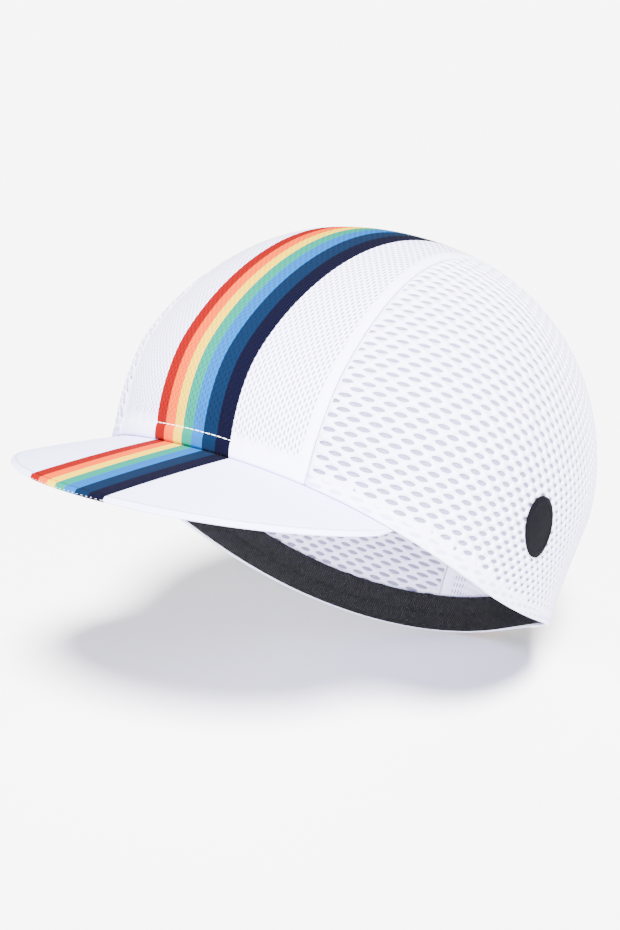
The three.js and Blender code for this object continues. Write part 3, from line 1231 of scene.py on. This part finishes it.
    def triangles(
        self, holes: list[np.ndarray], rim: np.ndarray, seam: np.ndarray, inner: np.ndarray
    ) -> tuple[np.ndarray, list[tuple[int, ...]]]:
        """Cut the flat cloth into triangles.

        Args:
            holes: Outlines of the eyelets.
            rim: Flat points of the rim.
            seam: Flat points of the seam.
            inner: A place well inside the panel.

        Returns:
            Flat places of the points, and the triangles between them.
        """
        outline = np.concatenate([rim[::3], seam[-4:0:-3]])
        _, normal = self.distance(rim, rim, inner)
        fills = [rim[8:-8:3] + normal[8:-8:3] * row for row in self.hem_rows]
        if not holes:
            fills.append(self.lattice.centres(self.reach))
        fill = np.concatenate(fills)
        from_seam, _ = self.distance(fill, seam, inner)
        from_rim, _ = self.distance(fill, rim, inner)
        fill = fill[(from_seam > 0.6) & (from_rim > 0.5)]
        rings = [outline, *holes]
        starts = np.cumsum([0] + [len(ring) for ring in rings])
        edges = [
            (start + step, start + (step + 1) % len(ring))
            for start, ring in zip(starts.tolist(), rings)
            for step in range(len(ring))
        ]
        spots = [Vector(point) for point in np.concatenate([*rings, fill])]
        made, _, faces, origins, _, _ = delaunay_2d_cdt(spots, edges, [], 0, 1e-5, True)
        first = np.array([min(origin) if origin else len(spots) for origin in origins])
        ring_of = np.searchsorted(starts, first, side="right") - 1
        kept = [face for face in faces if self.is_cloth(face, ring_of, len(rings), made, outline)]
        used = sorted({corner for face in kept for corner in face})
        place = {old: new for new, old in enumerate(used)}
        flat = np.array([tuple(made[old]) for old in used])
        return flat, [tuple(place[corner] for corner in face) for face in kept]

    def relief(self, rim: np.ndarray, seam: np.ndarray) -> np.ndarray:
        """Find how far the cloth stands out, at its rolled seam edge and doubled hem.

        Args:
            rim: Millimetres from the rim.
            seam: Millimetres from the seam.

        Returns:
            Millimetres out from the plain surface.
        """
        rolled = -self.roll * bell(seam, 0.0, 0.7)
        sewn = -self.dip * bell(rim, self.hem, 0.6)
        doubled = self.fold * smooth(rim, self.hem + 0.3, self.hem - 0.6) * smooth(rim, -0.4, 1.2)
        return rolled + sewn + doubled

    def layer(self, holes: list[np.ndarray], low: float, high: float, borders: tuple) -> Sheet:
        """Make one closed layer of the panel.

        Args:
            holes: Outlines of the eyelets cut through it.
            low: Depth of its inner face below the crown's surface.
            high: Depth of its outer face.
            borders: Flat rim, flat seam and a place inside.

        Returns:
            The layer's points, faces and marks.
        """
        rim, seam, inner = borders
        flat, faces = self.triangles(holes, rim, seam, inner)
        from_rim, _ = self.distance(flat, rim, inner)
        from_seam, _ = self.distance(flat, seam, inner)
        base = self.crown_point(flat)
        facing = self.crown.outward(base)
        lift = self.relief(from_rim, from_seam)
        thick = low - high
        if holes:
            thick = thick + self.hem_extra * smooth(from_rim, self.hem + 0.4, self.hem - 0.4)
        outer = base + facing * (lift - high)[:, None]
        points = np.concatenate([outer, outer - facing * np.broadcast_to(thick, lift.shape)[:, None]])
        count = len(flat)
        every = [*faces, *(tuple(corner + count for corner in reversed(face)) for face in faces)]
        every += self.walls(faces, count)
        cloth = np.stack([flat[:, 0], flat[:, 1], from_rim], axis=-1)
        return Sheet(self.crown.place(points), every, {"cloth": np.concatenate([cloth, cloth])})

    @staticmethod
    def walls(faces: list[tuple[int, ...]], count: int) -> list[tuple[int, ...]]:
        """Join the outer and inner layer along every free edge.

        Args:
            faces: Faces of the outer layer.
            count: How many points each layer has.

        Returns:
            The joining faces.
        """
        edges = {}
        for face in faces:
            for first, second in zip(face, face[1:] + face[:1]):
                if (second, first) in edges:
                    del edges[(second, first)]
                else:
                    edges[(first, second)] = True
        return [(second, first, first + count, second + count) for first, second in edges]

    def build(self, knit: Finish, net: Finish, thread: Finish) -> None:
        """Make the pierced cloth, the net behind it and the hem's stitches.

        Args:
            knit: Finish of the pierced cloth.
            net: Finish of the net behind it.
            thread: The sewing thread.
        """
        rim, seam = self.borders()
        inner = (rim.mean(axis=0) + seam.mean(axis=0)) / 2
        borders = (rim, seam, inner)
        holes = self.eyelets(rim, seam, inner)
        node = f"side_panel_{self.word()}"
        cloth = self.layer(holes, self.thickness, 0.0, borders)
        cloth.build(f"side_mesh_{self.word()}", knit, (node,), "eyelet_mesh")
        behind = self.layer([], *self.net_faces, borders)
        behind.build(f"side_net_{self.word()}", net, (node,), "eyelet_mesh")
        _, normal = self.distance(rim, rim, inner)
        line = self.crown_point((rim + normal * self.hem)[12:-12])
        facing = self.crown.outward(line)
        sewn = Stitching(self.crown, length=1.7, gap=0.6, half_width=0.17).sew(line - facing * 0.14, facing)
        sewn.build(f"hem_stitching_{self.word()}", thread, (), "eyelet_mesh")


@dataclass
class Peak:
    """Short cloth-covered peak, cambered, with a pressed line along its edge."""

    crown: Crown
    half_angle: float = 55.4
    length: float = 45.5
    drop: float = 19.1
    spread: float = 0.119
    plan_power: float = 0.945
    drop_power: float = 0.953
    thickness: float = 2.2
    camber: float = 0.4
    corner: float = 0.8
    play: float = 0.3
    root: float = 1.8
    pressed_in: float = 2.1
    pressed_depth: float = 0.16
    sewn_in: float = 0.3
    steps: int = 180
    reaches: int = 46

    def edge(self, turn: np.ndarray) -> np.ndarray:
        """Lay out the outer edge.

        Args:
            turn: Angles round the edge, from the right corner to the left one.

        Returns:
            Points of the edge.
        """
        side = math.radians(self.half_angle) * np.where(np.sin(turn) < 0, -1.0, 1.0)
        corner = self.crown.rim_point(side)
        length = corner[:, 1] - self.crown.rim_point(np.array([0.0]))[0, 1] + self.length
        forward = np.maximum(np.cos(turn), 0.0)
        place = np.stack(
            [
                np.abs(corner[:, 0]) * np.sin(turn) * (1 + self.spread * forward),
                corner[:, 1] - length * forward**self.plan_power,
                corner[:, 2] + (-self.drop - corner[:, 2]) * forward**self.drop_power,
            ],
            axis=-1,
        )
        return place + self.crown.down_at(side) * (self.corner * (1 - forward))[:, None]

    def build(self, finish: Finish, thread: Finish) -> None:
        """Make the peak and the stitches along its edge.

        Args:
            finish: The peak's cloth.
            thread: The sewing thread.
        """
        share = np.linspace(-1.0, 1.0, self.steps + 1)
        angle = math.radians(self.half_angle) * share
        down = self.crown.down_at(angle)
        rim = self.crown.rim_point(angle)
        root = rim + down * self.play
        under = rim - self.crown.outward(rim) * self.root + down * self.play
        edge = self.edge(math.pi / 2 * share)
        place = np.linspace(0.0, 1.0, self.reaches) ** 0.8
        plain = root[:, None] + (edge - root)[:, None] * place[None, :, None]
        ahead = np.gradient(plain, axis=0)
        reach = (edge - root)[:, None]
        facing = np.cross(ahead, np.broadcast_to(reach, ahead.shape))
        facing /= np.maximum(np.linalg.norm(facing, axis=-1, keepdims=True), 1e-9)
        facing[:, 0] = facing[:, 1]
        facing *= np.sign(facing[self.steps // 2, 1, 2])
        bulge = self.camber * 4 * place * (1 - place) * np.cos(math.pi / 2 * share)[:, None]
        upper = plain + facing * bulge[..., None]
        spare = np.linalg.norm(edge - root, axis=-1)[:, None] * (1 - place)
        half = self.thickness / 2
        rounding = half - np.sqrt(np.maximum(half**2 - np.maximum(half - spare, 0.0) ** 2, 0.0))
        pressed = self.pressed_depth * bell(spare, self.pressed_in, 0.35)
        outer = upper - facing * (rounding + pressed)[..., None]
        lower = upper - facing * (self.thickness - rounding - pressed)[..., None]
        lower[:, 0] = under
        along = running_length(plain, 1)
        points, faces = between_grids(outer, lower)
        cloth = np.stack([plain[..., 0], along, spare], axis=-1).reshape(-1, 3)
        sheet = Sheet(self.crown.place(points), faces, {"cloth": np.concatenate([cloth, cloth])})
        sheet.build("peak_cover", finish, ("peak",), "peak_cloth")
        picks = range(6, self.steps - 5)
        spots = [int(np.argmin(np.abs(spare[step] - self.sewn_in))) for step in picks]
        line = np.array([outer[step, spot] for step, spot in zip(picks, spots)])
        normals = np.array([facing[step, spot] for step, spot in zip(picks, spots)])
        sewn = Stitching(self.crown, length=0.7, gap=1.3, half_width=0.05).sew(line, normals)
        sewn.build("peak_edge_stitching", thread, (), "peak_cloth")


@dataclass
class Sweatband:
    """Black elastic band inside the rim, with a crease between two soft ridges."""

    crown: Crown
    height: float = 13.6
    thickness: float = 1.6
    crease: float = 0.7
    lift: float = 0.5
    depth: float = 2.3
    steps: int = 420
    columns: int = 25

    def build(self, finish: Finish) -> None:
        """Make the band.

        Args:
            finish: The elastic.
        """
        angle = np.linspace(0.0, 2 * math.pi, self.steps, endpoint=False)[:, None]
        up = np.linspace(0.0, 1.0, self.columns)[None, :]
        height = self.crown.rim_height(angle) + self.lift + up * self.height
        wall = self.crown.wall_point(angle, height)
        facing = self.crown.outward(wall)
        ridge = np.sqrt(np.maximum(np.abs(np.sin(2 * math.pi * np.clip(up, 0.02, 0.98))), 0.0))
        fall = np.where(np.abs(up - 0.5) < 0.25, self.crease, 0.55 * self.thickness)
        depth = self.depth + self.thickness - fall * (1 - ridge)
        depth = depth + 0.1 * np.sin(angle * 31.0 + np.sin(angle * 7.0) * 2.0) * ridge
        outer = wall - facing * self.depth
        inner = wall - facing * np.broadcast_to(depth, wall.shape[:2])[..., None]
        along = running_length(wall, 0)
        marks = np.stack([along, np.broadcast_to(up * self.height, along.shape), along * 0], axis=-1)
        points, faces = between_grids(outer, inner, ring=True)
        cloth = marks.reshape(-1, 3)
        sheet = Sheet(self.crown.place(points), faces, {"cloth": np.concatenate([cloth, cloth])})
        sheet.build("elastic_band", finish, ("sweatband",), "elastic")


@dataclass
class OvalPatch:
    """Plain oval patch on the left panel, with a thin raised ring inside its edge."""

    crown: Crown
    width: float = 25.5
    height: float = 18.0
    thickness: float = 0.5
    angle: float = 97.4
    rise: float = 28.5
    lean: float = -30.0
    gap: float = 0.3
    ring_share: float = 0.812
    ring_height: float = 0.16
    sides: int = 96
    shares: tuple[float, ...] = (
        *(0.02, 0.2, 0.4, 0.6, 0.72, 0.765, 0.785, 0.8),
        *(0.82, 0.84, 0.86, 0.9, 0.95, 0.985, 1.0),
    )

    def build(self, finish: Finish) -> None:
        """Make the patch.

        Args:
            finish: The pressed film.
        """
        angle = np.array([math.radians(self.angle)])
        middle = self.crown.wall_point(angle, self.crown.rim_height(angle) + self.rise)
        facing = self.crown.outward(middle)[0]
        middle = middle[0]
        level = np.cross([0.0, 0.0, 1.0], facing)
        level /= np.linalg.norm(level)
        up = np.cross(facing, level)
        lean = math.radians(self.lean)
        aside = level * math.cos(lean) + up * math.sin(lean)
        upward = up * math.cos(lean) - level * math.sin(lean)
        shares = np.array(self.shares)
        ring = self.ring_height * bell(shares, self.ring_share, 0.02)
        lift = self.gap + self.thickness + ring - 0.3 * smooth(shares, 0.93, 1.0)
        turn = np.linspace(0.0, 2 * math.pi, self.sides, endpoint=False)[:, None]
        across = shares * np.cos(turn) * self.width / 2
        above = shares * np.sin(turn) * self.height / 2
        aim = middle + across[..., None] * aside + above[..., None] * upward
        ways = aim - self.crown.heart
        ways /= np.linalg.norm(ways, axis=-1, keepdims=True)
        base = self.crown.ray_point(self.crown.heart, ways)
        normal = self.crown.outward(base)
        outer = base + normal * lift[None, :, None]
        inner = base + normal * self.gap
        points, faces = between_grids(outer, inner, ring=True)
        columns, count = len(shares), outer[..., 0].size
        faces = [face for face in faces if {corner % columns for corner in face} != {0}]
        faces.append(tuple(range(0, count, columns)))
        faces.append(tuple(range(2 * count - columns, count - 1, -columns)))
        sheet = Sheet(self.crown.place(points), faces, {})
        sheet.build("oval_patch", finish, ("badge",), "patch")


# Studio


class LightWay(Enum):
    """Where each distant lamp stands: azimuth, elevation, width in degrees, strength, tint."""

    KEY = (50.0, 46.0, 14.0, 29.0, (1.0, 1.0, 1.0))
    FRONT = (47.0, 5.0, 30.0, 11.0, (1.0, 1.0, 1.0))
    SIDE = (-60.0, 40.0, 40.0, 1.5, (0.98, 0.98, 1.0))


@dataclass
class Studio:
    """Pale floor, soft lamps and the camera at the photograph's viewing angle."""

    azimuth: float = 45.696
    elevation: float = 15.818
    distance: float = 803.916
    pixels_per_mm: float = 2.854
    aside: float = -5.429
    above: float = -16.045
    aim_height: float = 45.0
    image_height: int = 930
    floor_drop: float = 1.0
    floor_half: float = 6.0
    world: float = 0.5

    def axes(self, azimuth: float, elevation: float) -> tuple[Vector, Vector, Vector]:
        """Find the directions of a view.

        Args:
            azimuth: Degrees round from the front, towards the wearer's left.
            elevation: Degrees up from level.

        Returns:
            Its right, up and back directions.
        """
        turn, rise = math.radians(azimuth), math.radians(elevation)
        back = Vector((math.sin(turn) * math.cos(rise), -math.cos(turn) * math.cos(rise), math.sin(rise)))
        right = Vector((math.cos(turn), math.sin(turn), 0.0))
        return right, back.cross(right), back

    def camera(self) -> None:
        """Stand the camera where the photograph was taken from."""
        right, up, back = self.axes(self.azimuth, self.elevation)
        aim = Vector((0.0, 0.0, self.aim_height)) + right * self.aside + up * self.above
        lens = bpy.data.cameras.new("view")
        lens.sensor_fit = "VERTICAL"
        lens.sensor_height = 36.0
        lens.lens = self.pixels_per_mm * self.distance / self.image_height * lens.sensor_height
        lens.clip_start, lens.clip_end = 0.01, 50.0
        viewer = bpy.data.objects.new("view", lens)
        turned = Matrix((right, up, back)).transposed().to_4x4()
        turned.translation = (aim + back * self.distance) * METRES
        viewer.matrix_world = turned
        bpy.context.scene.collection.objects.link(viewer)
        bpy.context.scene.camera = viewer

    def lamps(self) -> None:
        """Hang the soft lamps."""
        for way in LightWay:
            azimuth, elevation, width, strength, hue = way.value
            _, _, back = self.axes(azimuth, elevation)
            lamp = bpy.data.lights.new(way.name.lower(), "SUN")
            lamp.angle, lamp.energy, lamp.color = math.radians(width), strength, hue
            stand = bpy.data.objects.new(way.name.lower(), lamp)
            stand.rotation_euler = back.to_track_quat("Z", "Y").to_euler()
            bpy.context.scene.collection.objects.link(stand)

    def floor(self, finish: Finish) -> None:
        """Lay the floor under the cap.

        Args:
            finish: The floor's paper.
        """
        low = float(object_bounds()[0][2]) - self.floor_drop * METRES
        half = self.floor_half
        corners = [(-half, -half, low), (half, -half, low), (half, half, low), (-half, half, low)]
        mesh = bpy.data.meshes.new("floor")
        mesh.from_pydata(corners, [], [(0, 1, 2, 3)])
        mesh.materials.append(finish.material)
        floor = bpy.data.objects.new("floor", mesh)
        bpy.context.scene.collection.objects.link(floor)
        floor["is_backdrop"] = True

    def sky(self) -> None:
        """Fill the room with even white light."""
        room = bpy.data.worlds.new("room")
        room.use_nodes = True
        room.node_tree.nodes["Background"].inputs["Color"].default_value = (0.92, 0.92, 1.0, 1.0)
        room.node_tree.nodes["Background"].inputs["Strength"].default_value = self.world
        bpy.context.scene.world = room


def main() -> None:
    """Build the cap piece by piece, then the studio, and report each piece."""
    logging.basicConfig(level=logging.INFO, format="%(name)s %(message)s")
    crown = Crown()
    studio = Studio()
    studio.camera()
    thread = Thread("white_thread", roughness=0.7)
    CentrePanel(crown).build(PinholeKnit("pinhole_knit", sheen=0.008), thread)
    knit = EyeletKnit("eyelet_knit", sheen=0.03)
    net = Backing("backing_net", roughness=0.95)
    for side in (LEFT, RIGHT):
        EyeletPanel(crown, side).build(knit, net, thread)
    Peak(crown).build(PeakKnit("peak_knit", sheen=0.008), thread)
    Sweatband(crown).build(Elastic("ribbed_elastic", roughness=0.8, sheen=0.004, specular=0.06))
    OvalPatch(crown).build(Patch("pressed_film", roughness=0.75, specular=0.015))
    studio.floor(StudioFloor("studio_paper", roughness=1.0, specular=0.0))
    studio.lamps()
    studio.sky()


if __name__ == "__main__":
    main()
